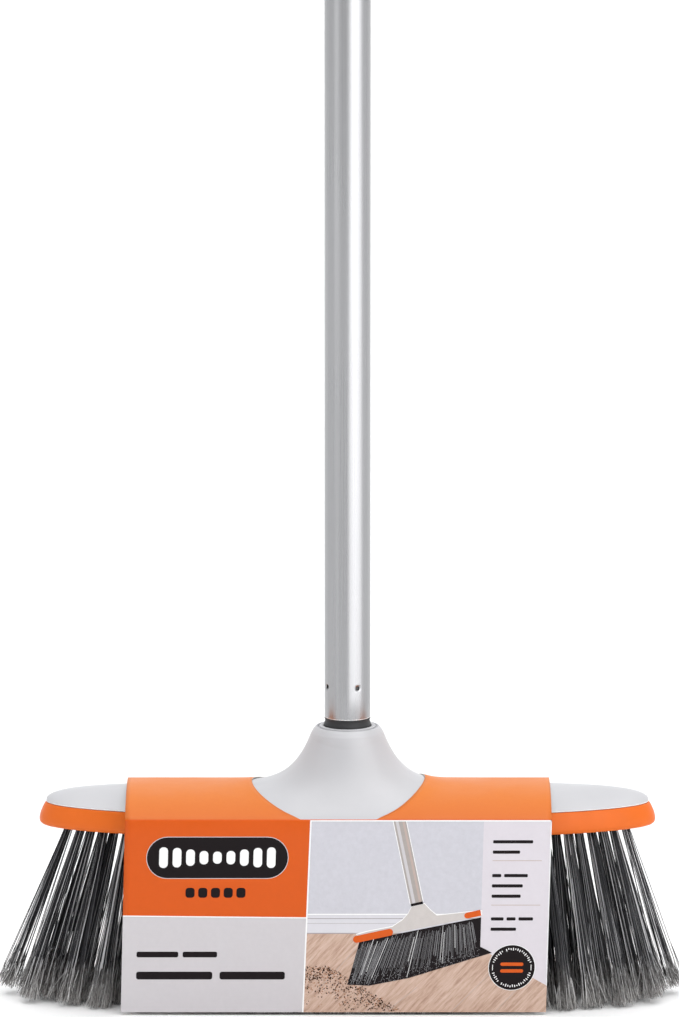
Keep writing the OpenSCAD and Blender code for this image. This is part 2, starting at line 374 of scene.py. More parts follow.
def cut_aluminium(name):
    """The tube's freshly cut edge: bright metal with fine saw lines."""
    n = Nodes(name, 0.5, metallic=1.0)
    n.colour(n.ramp(n.noise(700, 3), [(0.3, (0.86, 0.86, 0.87)), (0.7, (0.97, 0.97, 0.97))]))
    n.bump(n.noise(900, 3, 0.6, n.stretch(1, 1, 6)), 0.006, 0.4)
    return n.material


def drawn_wire(name):
    """Dull drawn steel wire."""
    n = Nodes(name, 0.35, metallic=1.0)
    n.colour(n.ramp(n.noise(400, 3), [(0.3, (0.50, 0.48, 0.44)), (0.7, (0.66, 0.63, 0.58))]))
    n.roughness(n.span(n.noise(300), 0.28, 0.5))
    return n.material


def bristle_fibre(name):
    """Dark polymer fibre: each strand its own shade, frayed and paler at the tips."""
    n = Nodes(name, 0.4)
    own = n.add("ShaderNodeNewGeometry").outputs["Random Per Island"]
    strand = n.ramp(own, [
        (0.0, (0.005, 0.005, 0.007)), (0.5, (0.016, 0.016, 0.02)),
        (0.66, (0.05, 0.05, 0.056)), (0.72, (0.3, 0.3, 0.315)), (1.0, (0.8, 0.79, 0.8)),
    ])
    near_tip = n.span(n.height(), 0.8, 0.0, 0.003, 0.026)
    frayed = n.ramp(own, [(0.0, (0.12, 0.11, 0.105)), (0.5, (0.42, 0.4, 0.385)), (1.0, (0.9, 0.88, 0.86))])
    n.colour(n.mix(near_tip, strand, frayed))
    n.roughness(n.span(own, 0.3, 0.55))
    return n.material


def printed_card(name, colour, gloss=0.42, speckle=0.02, specular=0.3):
    """Ink on coated card: fine ink mottle, a faint fibre relief and an uneven coating."""
    n = Nodes(name, gloss, specular=specular)
    mottle = n.noise(420, 4, 0.65)
    n.colour(n.ramp(mottle, [(0.25, tint(colour, 1 - speckle)), (0.75, tint(colour, 1 + speckle))]))
    n.roughness(n.span(n.noise(30, 4), gloss - 0.06, gloss + 0.08, 0.3, 0.7))
    n.bump(n.noise(700, 5, 0.7), 0.01, 0.25)
    return n.material


def printed_fold_painted_light(name, lit_ridge, shaded_crease):
    """The print on the sleeve's bent top, with painted light: a lit copy of the orange ink that pales from
    the crease up to the ridge, standing in for the light and sheen the top catches.
    """
    n = Nodes(name, 0.42, specular=0.3)
    # Painted light: the colour goes with height from the darker crease to the paler, lit ridge
    height = n.span(n.height(), 0.0, 1.0, FOLD_Z * MM, (FOLD_Z + ARCH_RISE) * MM)
    ink = n.mix(height, shaded_crease, lit_ridge)
    n.colour(n.mix(n.span(n.noise(420, 4, 0.65), 0.0, 0.3, 0.3, 0.75), ink, tint(shaded_crease, 0.97)))
    n.roughness(n.span(n.noise(30, 4), 0.36, 0.5, 0.3, 0.7))
    n.bump(n.noise(700, 5, 0.7), 0.01, 0.25)
    return n.material


def card_core(name):
    """The bare grey-white edge of cut card, in its layers."""
    n = Nodes(name, 0.85)
    n.colour(n.ramp(n.noise(900, 4), [(0.3, (0.56, 0.53, 0.48)), (0.7, (0.74, 0.72, 0.68))]))
    n.bump(n.noise(1200, 3), 0.05, 0.5)
    return n.material


def printed_floorboards(name):
    """The floor in the sleeve's picture: pale planks that run away at a slant."""
    n = Nodes(name, 0.42)
    slant = {"Rotation": (0, math.radians(-47), 0), "Scale": (10, 1, 1)}
    turned = n.add("ShaderNodeMapping", slant, vector_type="TEXTURE")
    n.link(n.position, turned.inputs["Vector"])
    grain = n.noise(750, 5, 0.7, turned.outputs["Vector"])
    n.colour(n.ramp(grain, [
        (0.28, (0.36, 0.21, 0.145)), (0.5, (0.57, 0.39, 0.3)), (0.72, (0.7, 0.53, 0.45)),
    ]))
    n.bump(n.noise(700, 5, 0.7), 0.01, 0.25)
    return n.material


def studio_floor(name):
    """Matt white paper, a little cloudy."""
    n = Nodes(name, 0.95, specular=0.05)
    n.colour(n.ramp(n.noise(3, 2), [(0.3, (0.93, 0.93, 0.93)), (0.7, (0.95, 0.95, 0.95))]))
    n.bump(n.noise(500, 3), 0.02, 0.2)
    return n.material


GREY = moulded_plastic("grey_plastic", (0.525, 0.522, 0.54), 0.36)
# Painted highlight: a pale copy of the grey for the crown's edge lip, standing in for the light that edge
# catches
GREY_PAINTED_HIGHLIGHT = moulded_plastic("grey_plastic_painted_highlight", (0.86, 0.85, 0.84), 0.36)
BLOCK_GREY = moulded_plastic("block_plastic", (0.52, 0.525, 0.54), 0.42)
BLACK = moulded_plastic("black_plastic", (0.03, 0.03, 0.032), 0.45, wear=2.2)
BLACK_RUBBER = rubber("black_rubber", (0.035, 0.035, 0.037), 0.55)
ORANGE_RUBBER = rubber("orange_rubber", (0.765, 0.142, 0.009), 0.45)
ALUMINIUM = drawn_aluminium("drawn_aluminium")
CUT_METAL = cut_aluminium("cut_aluminium")
WIRE = drawn_wire("anchor_wire")
FIBRE = bristle_fibre("bristle_fibre")
CARD_CORE = card_core("card_core")
CARD_BACK = printed_card("card_inside", (0.62, 0.6, 0.56), 0.8, 0.06)
INK_ORANGE = printed_card("print_orange", (0.67, 0.097, 0.004), specular=0.25)
# The sleeve's top takes a lighter, lit copy of the orange ink: painted light, not a different print
INK_TOP_PAINTED_LIGHT = printed_fold_painted_light("print_orange_top_painted_light", (0.72, 0.195, 0.014), (0.65, 0.138, 0.008))
INK_GREY = printed_card("print_pale_grey", (0.6, 0.575, 0.595))
INK_COLUMN = printed_card("print_column", (0.69, 0.65, 0.695))
INK_WALL = printed_card("print_wall", (0.59, 0.585, 0.635), speckle=0.05)
INK_TRIM = printed_card("print_trim", (0.68, 0.67, 0.71))
INK_SHADE = printed_card("print_shade", (0.36, 0.33, 0.34))
INK_BEIGE = printed_card("print_beige", (0.6, 0.56, 0.54), speckle=0.05)
INK_WHITE = printed_card("print_white", (0.93, 0.93, 0.93))
INK_BLACK = printed_card("print_black", (0.012, 0.009, 0.01), 0.5, specular=0.08)
INK_HANDLE = printed_card("print_handle", (0.4, 0.36, 0.34), speckle=0.06)
INK_STRAND = printed_card("print_strand", (0.25, 0.25, 0.26), speckle=0.2)
INK_LINE = printed_card("print_line", (0.5, 0.4, 0.36))
INK_CRUMB = printed_card("print_crumb", (0.06, 0.03, 0.02), 0.5, specular=0.1)
INK_GRAIN = printed_card("print_grain", (0.42, 0.21, 0.12), 0.5)
INK_WOOD = printed_floorboards("print_floorboards")


# ---------- head ----------


def edge_depth(x, half_length, half_depth):
    """Half the width of a lens-shaped outline at a place along it."""
    return half_depth * math.sqrt(max(0, 1 - (x / half_length) ** 2))


def cover_z(x, y):
    """Height of the head's top: the crown, and the neck's flare on it."""
    length, depth = HALF_L - END_LEAN, HALF_D - FRONT_LEAN
    along = min(1, abs(x) / length)
    across = min(1, abs(y) / max(0.001, edge_depth(x, length, depth)))
    # The crown is nearly level along the head, and steep at its ends
    crown = CROWN_RISE * max(0, 1 - along ** 8) ** 0.42 * (1 - across ** 1.9)
    flare = (FLARE_TOP - BAND_TOP - CROWN_RISE) * math.exp(-(math.hypot(x, y) - NECK_R) / FLARE_FADE)
    return BAND_TOP + crown + flare * (1 - across ** 4)


def band_point(t, lean, inset, z):
    """A point of the band round the head, leaned in more at the ends than at the front."""
    side_lean = lean * FRONT_LEAN / END_LEAN
    return ((HALF_L - lean - inset) * math.cos(t), (HALF_D - side_lean - inset) * math.sin(t), z)


def swell(point, share=1.0):
    """Moves a point of the cover out and down at the head's middle, where it fills out to the sleeve."""
    x, y, z = point
    amount = share * (1 - smoothstep(SWELL_FULL, SWELL_END, abs(x)))
    return (x, y + math.copysign(SWELL_OUT * amount, y), z - SWELL_DROP * amount)


def crown_ring(s, count, drop=0.0, inset=0.0):
    """A ring of the head's top, from the neck where s is 0 to the band where s is 1."""
    a = NECK_R + (HALF_L - END_LEAN - NECK_R) * s ** 1.7
    b = NECK_R + (HALF_D - FRONT_LEAN - NECK_R) * s
    ring = []
    for i in range(count):
        t = math.tau * i / count
        z = cover_z(a * math.cos(t), b * math.sin(t)) - drop
        ring.append(swell(((a - inset) * math.cos(t), (b - inset) * math.sin(t), z), s ** 5))
    return ring


def band_ring(count, inset, z):
    """A level ring of the cover's side. It swells less towards the foot."""
    share = smoothstep(UNDERSIDE, BAND_TOP - 2, z)
    return [swell(band_point(math.tau * i / count, END_LEAN, inset, z), share) for i in range(count)]


def make_head_cover():
    """The hollow cover: threaded socket, rim, flared neck, crown and skirt, as one closed skin."""
    count = 288
    socket_foot = NOSE_Z - 3
    rings = [circle(0.5, socket_foot, count)]
    steps = 90
    for j in range(steps + 1):
        z = socket_foot + (BOSS_TOP - socket_foot) * j / steps
        rings.append(thread_ring(z, count, THREAD_R + THREAD_GAP, THREAD_GAP))
    # The ring's seat and mouth, then a fine groove round the rim
    mouth = spline([
        (12, BOSS_TOP), (12.3, SEAT_Z), (MOUTH_R - 0.3, SEAT_Z), (MOUTH_R, SEAT_Z + 0.4),
        (MOUTH_R, RIM - 0.8), (MOUTH_R + 0.25, RIM - 0.2), (MOUTH_R + 0.9, RIM),
        (15.1, RIM - 0.05), (15.5, RIM - 0.35),
        (15.7, RIM - 1.2), (16.3, RIM - 1.45), (16.6, RIM - 0.75), (17.1, RIM - 0.6), (17.8, RIM - 0.95),
        (18.9, RIM - 2.3), (20, RIM - 4.1),
    ])
    rings += [circle(r, z, count) for r, z in mouth]
    # The rings crowd together towards the edge, where the crown drops steeply
    crown_steps = 80
    rings += [crown_ring(1 - (1 - j / crown_steps) ** 1.5, count) for j in range(crown_steps + 1)]
    # A lip runs round the crown's edge, painted pale as a highlight for the light its edge catches, then
    # come a groove, the skirt and its foot
    lip_start = len(rings) - 1
    lip = [(0, BAND_TOP - 0.12), (0.04, BAND_TOP - 0.35), (0.14, BAND_TOP - 0.5)]
    groove = spline([(0.8, BAND_TOP - 0.55), (1.0, BAND_TOP - 0.8), (0.6, BAND_TOP - 1.05)], 3)
    skirt = spline([
        (0.5, BAND_TOP - 1.5), (0.5, UNDERSIDE + 1.2), (0.8, UNDERSIDE + 0.25), (1.5, UNDERSIDE),
    ], 4)
    lip_end = lip_start + len(lip)
    rings += [band_ring(count, inset, z) for inset, z in lip + groove + skirt + [(4.6, UNDERSIDE)]]
    inner_steps = 20
    for j in range(inner_steps, 0, -1):
        rings.append(crown_ring(j / inner_steps, count, WALL * 1.3, WALL * 1.9))
    rings += [circle(r, z, count) for r, z in ((16.7, PLATE_Z), (BOSS_R, PLATE_Z), (BOSS_R, BOSS_FOOT))]
    points, faces = skin(rings)
    cover = add_mesh("head_cover_shell", points, faces, "head", [GREY, GREY_PAINTED_HIGHLIGHT], 35)
    # The lip's faces take the pale grey: a painted highlight line along the crown's edge
    for face in cover.data.polygons[lip_start * count:lip_end * count]:
        face.material_index = 1
    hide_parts("head_cover")


def bumper_lean(h):
    """How far the bumper leans in at a height from 0, its foot, to 1, its top."""
    return END_LEAN * max(0, (h - 0.28) / 0.72) ** 1.5


def make_bumper(name, node, side):
    """A rubber band round one end of the head, with round ends and soft edges."""
    turn = math.acos((HALF_L - BUMPER_REACH) / HALF_L)
    end_r = BAND_H / 2 - 0.4
    middle = UNDERSIDE + BAND_H / 2 - 0.35
    columns = 260
    half_rows = 12
    top_edge_r, foot_edge_r = 1.0, 2.7
    # Places along the band, and their distance from its nearer end
    places = [-turn * math.cos(math.pi * j / columns) for j in range(columns + 1)]
    outline = [Vector(band_point(t, 0, 0, 0)) for t in places]
    run = [0.0]
    for a, b in zip(outline, outline[1:]):
        run.append(run[-1] + (b - a).length)
    rings = []
    for t, gone in zip(places, run):
        to_end = min(gone, run[-1] - gone)
        into_cap = max(0, end_r - to_end)
        half_h = max(0.02, math.sqrt(max(0, end_r ** 2 - into_cap ** 2)))
        ring = []
        for k in range(-half_rows, half_rows + 1):
            z = middle - half_h * math.sin(math.pi / 2 * k / half_rows)
            to_edge = max(0, end_r - math.hypot(into_cap, z - middle))
            edge_r = foot_edge_r + (top_edge_r - foot_edge_r) * smoothstep(-3, 3, z - middle)
            round_off = edge_r - math.sqrt(max(0, edge_r ** 2 - max(0, edge_r - to_edge) ** 2))
            lean = bumper_lean((z - UNDERSIDE) / BAND_H)
            ring.append(band_point(t, lean, 0.05 + round_off, z))
        ring.append(band_point(t, END_LEAN, 2.2, middle - half_h))
        ring.append(band_point(t, END_LEAN, 2.2, middle + half_h))
        rings.append([(side * x, side * y, z) for x, y, z in ring])
    points, faces = skin(rings)
    bumper = add_mesh(name, points, faces, "head", [ORANGE_RUBBER], 50)
    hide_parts(node)


# ---------- bristles ----------


def tuft_ends(node):
    """The two end centres of each rod in a CAD bristle row, in millimetres, left to right."""
    mesh = bmesh.new()
    mesh.from_mesh(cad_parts[node].data)
    bmesh.ops.remove_doubles(mesh, verts=mesh.verts, dist=0.01 * MM)
    mesh.verts.ensure_lookup_table()
    seen = set()
    ends = []
    for start in mesh.verts:
        if start.index in seen:
            continue
        island, todo = [], [start]
        seen.add(start.index)
        while todo:
            vert = todo.pop()
            island.append(vert.co / MM)
            for edge in vert.link_edges:
                other = edge.other_vert(vert)
                if other.index not in seen:
                    seen.add(other.index)
                    todo.append(other)
        halfway = sum(p.z for p in island) / len(island)
        top = [p for p in island if p.z > halfway]
        foot = [p for p in island if p.z <= halfway]
        ends.append((sum(top, Vector()) / len(top), sum(foot, Vector()) / len(foot)))
    mesh.free()
    return sorted(ends, key=lambda pair: pair[0].x)


def tube_mesh(paths, radii, across, sides=3):
    """Points and faces of many thin tubes.

    paths is strands x points x 3, and across is two unit vectors.
    """
    strands, count, _ = paths.shape
    i = np.arange(sides)
    k = (i + 1) % sides
    turn = (i * math.tau / sides)[:, None]
    section = across[0] * np.cos(turn) + across[1] * np.sin(turn)
    points = paths[:, :, None, :] + radii[:, :, None, None] * section
    ring = np.arange(count - 1)[:, None] * sides
    quads = np.stack([ring + i, ring + k, ring + sides + k, ring + sides + i], axis=-1).reshape(-1, 4)
    base = (np.arange(strands) * count * sides)[:, None]
    quads = (quads + base[:, :, None]).reshape(-1, 4)
    caps = np.concatenate([base + i[::-1], base + (count - 1) * sides + i])
    return points.reshape(-1, 3) * MM, quads, caps


def join_tubes(name, parts):
    """A mesh from the parts that tube_mesh() gives."""
    points, quads, caps, shift = [], [], [], 0
    for p, q, c in parts:
        points.append(p)
        quads.append(q + shift)
        caps.append(c + shift)
        shift += len(p)
    points, quads, caps = np.concatenate(points), np.concatenate(quads), np.concatenate(caps)
    mesh = bpy.data.meshes.new(name)
    mesh.vertices.add(len(points))
    mesh.vertices.foreach_set("co", points.ravel())
    corners = np.concatenate([quads.ravel(), caps.ravel()])
    mesh.loops.add(len(corners))
    mesh.loops.foreach_set("vertex_index", corners.astype(np.int32))
    starts = np.concatenate([np.arange(len(quads)) * 4, len(quads) * 4 + np.arange(len(caps)) * 3])
    mesh.polygons.add(len(starts))
    mesh.polygons.foreach_set("loop_start", starts.astype(np.int32))
    mesh.update(calc_edges=True)
    return mesh


# How much the tufts at the head's left and right splay, against the CAD's straight rods
SPLAY_LEFT, SPLAY_RIGHT = 1.06, 0.86
FIBRES_PER_TUFT = 36
HAIRS_PER_FIBRE = 4
# The sleeve holds the brush in to this half depth
BRUSH_HALF_D = CARD_FACE - CARD_T - 0.7
LOWEST_TIP = 0.35


def make_bristle_row(number):
    """One row of tufts: bundles of fibres that fan out downwards and fray at their tips."""
    node = f"bristle_row_{number}"
    random = np.random.RandomState(40 + number)
    parts = []
    for top, foot in tuft_ends(node):
        # The rod's top is down in its hole, and a fibre starts there
        side = SPLAY_LEFT if foot.x < 0 else SPLAY_RIGHT
        # Past the sleeve's ends nothing holds the outer rows in
        spread = 1 + 0.2 * smoothstep(95, 125, abs(foot.x))
        foot = Vector((
            top.x + (foot.x - top.x) * side + random.normal(0, 1.7),
            foot.y * spread + random.normal(0, 0.8),
            foot.z,
        ))
        axis = (foot - top).normalized()
        across = axis.orthogonal().normalized()
        across = np.array([across, axis.cross(across)])
        parts += make_tuft(random, np.array(top), np.array(axis), (foot - top).length, across)
    mesh = join_tubes(node + "_fibres", parts)
    row = add_piece(node + "_fibres", mesh, "head", [FIBRE], 180)
    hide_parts(node)


def make_tuft(random, top, axis, reach, across):
    """The fibres of one tuft, and the hairs that each one splits into."""
    count = FIBRES_PER_TUFT
    angle = random.uniform(0, math.tau, count)
    out = np.sqrt(random.uniform(0, 1, count))
    flat = np.stack([np.cos(angle) * out, np.sin(angle) * out], axis=1)
    # A few fibres stray across their neighbours
    stray = np.where(random.uniform(0, 1, (count, 1)) < 0.08, 4.2, 0.9)
    fan = flat * 3.5 + random.normal(0, 1, (count, 2)) * stray
    bow = random.normal(0, 0.35, (count, 2))
    length = reach * (1.008 + random.normal(0, 0.004, count))
    bundle_r = 2.0 * random.uniform(0.92, 1.12)

    def sideways(drift):
        """Offsets across the tuft, as points."""
        return drift[:, :, :1] * across[0] + drift[:, :, 1:] * across[1]

    def path(t):
        """Points of every fibre at shares of its length."""
        drift = (
            flat[:, None, :] * bundle_r
            + fan[:, None, :] * (t ** 1.25)[:, :, None]
            + bow[:, None, :] * np.sin(t * math.pi)[:, :, None]
        )
        return top + (length[:, None] * t)[:, :, None] * axis + sideways(drift)

    width = random.uniform(0.23, 0.34, count)
    split = random.uniform(0.74, 0.93, (count, 1))
    main_points = 8
    main = path(split * np.linspace(0, 1, main_points))
    parts = [tube_mesh(hold_in(main), width[:, None] * np.linspace(1, 0.8, main_points), across)]
    # Shares of a hair's length, and its width at each as a share of the fibre's
    t = np.array([0, 0.35, 0.7, 1.0])
    taper = np.array([0.6, 0.56, 0.5, 0.4])
    for _ in range(HAIRS_PER_FIBRE):
        lean = random.normal(0, 1, (count, 1, 2))
        lean = lean * np.where(random.uniform(0, 1, (count, 1, 1)) < 0.08, 3, 1.15)
        curl = random.normal(0, 0.5, (count, 1, 2))
        end = split + (1 - split) * random.uniform(0.94, 1.06, (count, 1))
        bend = lean * t[None, :, None] ** 1.2 + curl * np.sin(t * math.pi)[None, :, None]
        hair = path(split - 0.01 + (end - split) * t) + sideways(bend)
        parts.append(tube_mesh(hold_in(hair), width[:, None] * taper, across))
    return parts


def hold_in(paths):
    """Keeps strands above the floor and inside the sleeve."""
    paths[:, :, 2] = np.maximum(paths[:, :, 2], LOWEST_TIP)
    paths[:, :, 1] = np.clip(paths[:, :, 1], -BRUSH_HALF_D, BRUSH_HALF_D)
    return paths


# ---------- handle ----------


def punch_offset(turn, z):
    """Sideways and upward distance in millimetres from the nearest punch mark."""
    across = min((((turn - mark + 90) + 180) % 360 - 180 for mark in PUNCH_TURNS), key=abs)
    up = min((z - mark for mark in PUNCH_HEIGHTS), key=abs)
    return math.radians(across) * TUBE_R, up


def tube_point(turn, z, radius, dish):
    """A point of the tube's wall. Round a punch mark the grid's squares are drawn in to circles."""
    across, up = punch_offset(turn, z)
    square = max(abs(across), abs(up))
    if 0 < square < DISH_R:
        to_circle = (1 - smoothstep(PUNCH_R, DISH_R, square)) * (square / math.hypot(across, up) - 1)
        turn += math.degrees(across * to_circle / TUBE_R)
        z += up * to_circle
    radius -= dish * (1 - smoothstep(PUNCH_R - 0.2, 2.1, square))
    return (radius * math.cos(math.radians(turn)), radius * math.sin(math.radians(turn)), z)


def make_tube():
    """The aluminium tube, open through its wall at the punch marks, whose lips are pressed in."""
    count = 320
    cell = math.tau * TUBE_R / count
    reach = round(DISH_R / cell)
    heights = [TUBE_FOOT, TUBE_FOOT + 0.15, TUBE_FOOT + CUT_H]
    for z in PUNCH_HEIGHTS:
        heights += [z + i * cell for i in range(-reach, reach + 1)]
    # A few levels on the plain length between the marks
    heights += [TUBE_FOOT + 60 + i * 95 for i in range(11)]
    heights += [TUBE_TOP - 0.4, TUBE_TOP - 0.15, TUBE_TOP]
    heights.sort()
    turns = [360 * i / count for i in range(count)]
    outside, inside = [], []
    for z in heights:
        rounded = 0.25 * max(0, 1 - min(z - TUBE_FOOT, TUBE_TOP - z) / 0.4) ** 2
        outside.append([tube_point(turn, z, TUBE_R - rounded, PUNCH_DEPTH) for turn in turns])
        inside.append([tube_point(turn, z, TUBE_R - TUBE_WALL, 0) for turn in turns])
    points, faces = skin(outside + inside[::-1], loop=True)
    levels = len(heights)

    def wall(j, i):
        """The outer and the inner point at a level and a turn."""
        return j * count + i % count, (2 * levels - 1 - j) * count + i % count

    holes = set()
    for mark in PUNCH_HEIGHTS:
        level = min(range(levels), key=lambda j: abs(heights[j] - mark))
        for turn in PUNCH_TURNS:
            column = round((turn - 90) / 360 * count)
            holes.update(cut_hole(faces, wall, level, column, round(PUNCH_R / cell)))
    faces = [face for face in faces if frozenset(face) not in holes]
    tube = add_mesh("handle_tube_drawn", points, faces, "handle", [ALUMINIUM, CUT_METAL], 35)
    for face in tube.data.polygons:
        if face.center.z < (TUBE_FOOT + CUT_H) * MM:
            face.material_index = 1
    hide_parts("handle_tube")


def cut_hole(faces, wall, level, column, reach):
    """Adds the sides of a hole to the faces, and gives the faces that it takes away."""
    gone = []
    for j in range(level - reach, level + reach):
        for i in range(column - reach, column + reach):
            corners = [wall(j, i), wall(j, i + 1), wall(j + 1, i + 1), wall(j + 1, i)]
            gone += [frozenset(outer for outer, _ in corners), frozenset(inner for _, inner in corners)]
    steps = range(-reach, reach)
    rim = [(-reach, k) for k in steps] + [(k, reach) for k in steps]
    rim += [(reach, -k) for k in steps] + [(-k, -reach) for k in steps]
    for (j, i), (next_j, next_i) in zip(rim, rim[1:] + rim[:1]):
        outer, inner = wall(level + j, column + i)
        next_outer, next_inner = wall(level + next_j, column + next_i)
        faces.append((outer, next_outer, next_inner, inner))
    return gone


def make_insert():
    """The black plug that joins tube and head: ribbed shank, neck, screw thread and nose."""
    count = 192
    bore_r = 4.5
    nose = ((bore_r, NOSE_Z - 2), (5.9, NOSE_Z - 2), (6.4, NOSE_Z - 1.6))
    rings = [circle(r, z, count) for r, z in nose]
    steps = 110
    for j in range(steps + 1):
        z = NOSE_Z + THREAD_L * j / steps
        run_out = smoothstep(0, 3, z - NOSE_Z) * smoothstep(0, 2.5, NOSE_Z + THREAD_L - z)
        rings.append(thread_ring(z, count, THREAD_R, share=run_out))
    shank = [
        (INSERT_NECK_R - 0.6, BOSS_TOP + 0.2), (INSERT_NECK_R, BOSS_TOP + 0.8),
        (INSERT_NECK_R, TUBE_FOOT + 0.1), (PLUG_R - 0.4, TUBE_FOOT + 0.3), (PLUG_R, TUBE_FOOT + 0.9),
    ]
    for groove in (8, 28):
        z = TUBE_FOOT + groove
        shank += [(PLUG_R, z), (PLUG_R - 0.8, z + 0.2), (PLUG_R - 0.8, z + 2.8), (PLUG_R, z + 3)]
    shank += [(PLUG_R, TUBE_FOOT + 37.5), (PLUG_R - 0.5, TUBE_FOOT + 38.3), (bore_r, TUBE_FOOT + 38.3)]
    rings += [circle(r, z, count) for r, z in shank]
    points, faces = skin(rings, loop=True)
    plug = add_mesh("threaded_insert_moulded", points, faces, "handle", [BLACK], 40)
    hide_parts("threaded_insert")


def make_collar():
    """The soft ring pinched between the tube's foot and the neck's mouth."""
    foot = SEAT_Z + 0.1
    outer = spline([
        (12.5, foot), (12.95, foot + 0.35), (13.0, foot + 1.4), (13.0, foot + 4.1), (12.86, foot + 4.9),
        (12.5, foot + 5.9), (12.4, foot + 6.8), (12.66, foot + 7.7), (12.7, foot + 8.0), (12.5, foot + 8.2),
    ], 6)
    inner = [(INSERT_NECK_R + 0.35, foot + 8.2), (INSERT_NECK_R + 0.35, foot)]
    points, faces = skin([circle(r, z, 256) for r, z in outer + inner], loop=True)
    collar = add_mesh("collar_ring_soft", points, faces, "ring", [BLACK_RUBBER], 50)
    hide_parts("collar_ring")


def dress_cad(node, material):
    """Gives a CAD node that stays its material and smooth shading."""
    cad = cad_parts[node]
    cad.data.materials.clear()
    cad.data.materials.append(material)
    finish_faces(cad.data, 32)


# ---------- sleeve ----------


def card_section():
    """The card's outer line from the back's foot over the top to the front's foot, as (y, z)."""
    fold_r = 1.1
    arch_steps, panel_steps = 22, 12
    arch = []
    for i in range(-arch_steps, arch_steps + 1):
        s = i / arch_steps
        arch.append((-s * (CARD_FACE - 0.35), FOLD_Z + ARCH_RISE * (1 - abs(s) ** 2.2)))
    rise = (PANEL_H - fold_r) / panel_steps
    front = [(-CARD_FACE, CARD_FOOT + rise * k) for k in range(panel_steps, -1, -1)]
    back = [(CARD_FACE, z) for _, z in reversed(front)]
    return back, arch, front


def card_x(x, z):
    """Sideways place on the card, whose side panels are skewed a little."""
    return SLEEVE_X + x + SLEEVE_SKEW * max(0, FOLD_Z - z) / PANEL_H


def drape(x, y, z):
    """Height of the card's top at a place: its arch, lifted where the neck's flare holds it up."""
    softness = 0.45
    short = (cover_z(x, y) + CARD_T + 0.25 - z) / softness
    lift = softness * math.log1p(math.exp(min(short, 30)))
    return z + lift * (1 - smoothstep(34, 42, abs(y)))


def make_card():
    """The sleeve: one bent sheet with a hole for the neck in its top, and bare cut edges."""
    back, arch, front = card_section()
    rows = [(p, False) for p in back] + [(p, True) for p in arch] + [(p, False) for p in front]
    side_columns, gap_columns = 26, 12
    points, index = [], []
    for (y, z), on_top in rows:
        reach = NECK_HOLE[0] * math.sqrt(1 - (min(abs(y), CARD_FACE - 0.9) / NECK_HOLE[1]) ** 2)
        left = [-SLEEVE_W / 2 + (SLEEVE_W / 2 - reach) * c / side_columns for c in range(side_columns + 1)]
        gap = [-reach + 2 * reach * c / gap_columns for c in range(1, gap_columns)]
        xs = left + gap + [-x for x in reversed(left)]
        index.append(list(range(len(points), len(points) + len(xs))))
        points += [(card_x(x, z), y, drape(card_x(x, z), y, z) if on_top else z) for x in xs]
    faces, top_faces = [], set()
    for j in range(len(rows) - 1):
        on_top = rows[j][1] and rows[j + 1][1]
        for c in range(len(index[0]) - 1):
            in_gap = side_columns <= c < side_columns + gap_columns
            if on_top and in_gap:
                continue
            a, b = index[j], index[j + 1]
            if on_top:
                top_faces.add(len(faces))
            faces.append((a[c], b[c], b[c + 1], a[c + 1]))
    # The sheet's inner side and its cut rim take the first and second material after a face's own
    inks = [INK_ORANGE, CARD_BACK, CARD_CORE, INK_TOP_PAINTED_LIGHT, CARD_BACK, CARD_CORE]
    card = add_mesh("card_sleeve_folded", points, faces, "sleeve", inks, 60)
    # The top's faces take the painted-light copy of the orange ink
    for face in top_faces:
        card.data.polygons[face].material_index = inks.index(INK_TOP_PAINTED_LIGHT)
    sheet = card.modifiers.new("card", "SOLIDIFY")
    sheet.thickness = CARD_T * MM
    sheet.offset = -1
    sheet.material_offset = 1
    sheet.material_offset_rim = 2
    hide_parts("card_sleeve")


# Print lies on the card in layers this far apart
LAYER = 0.03


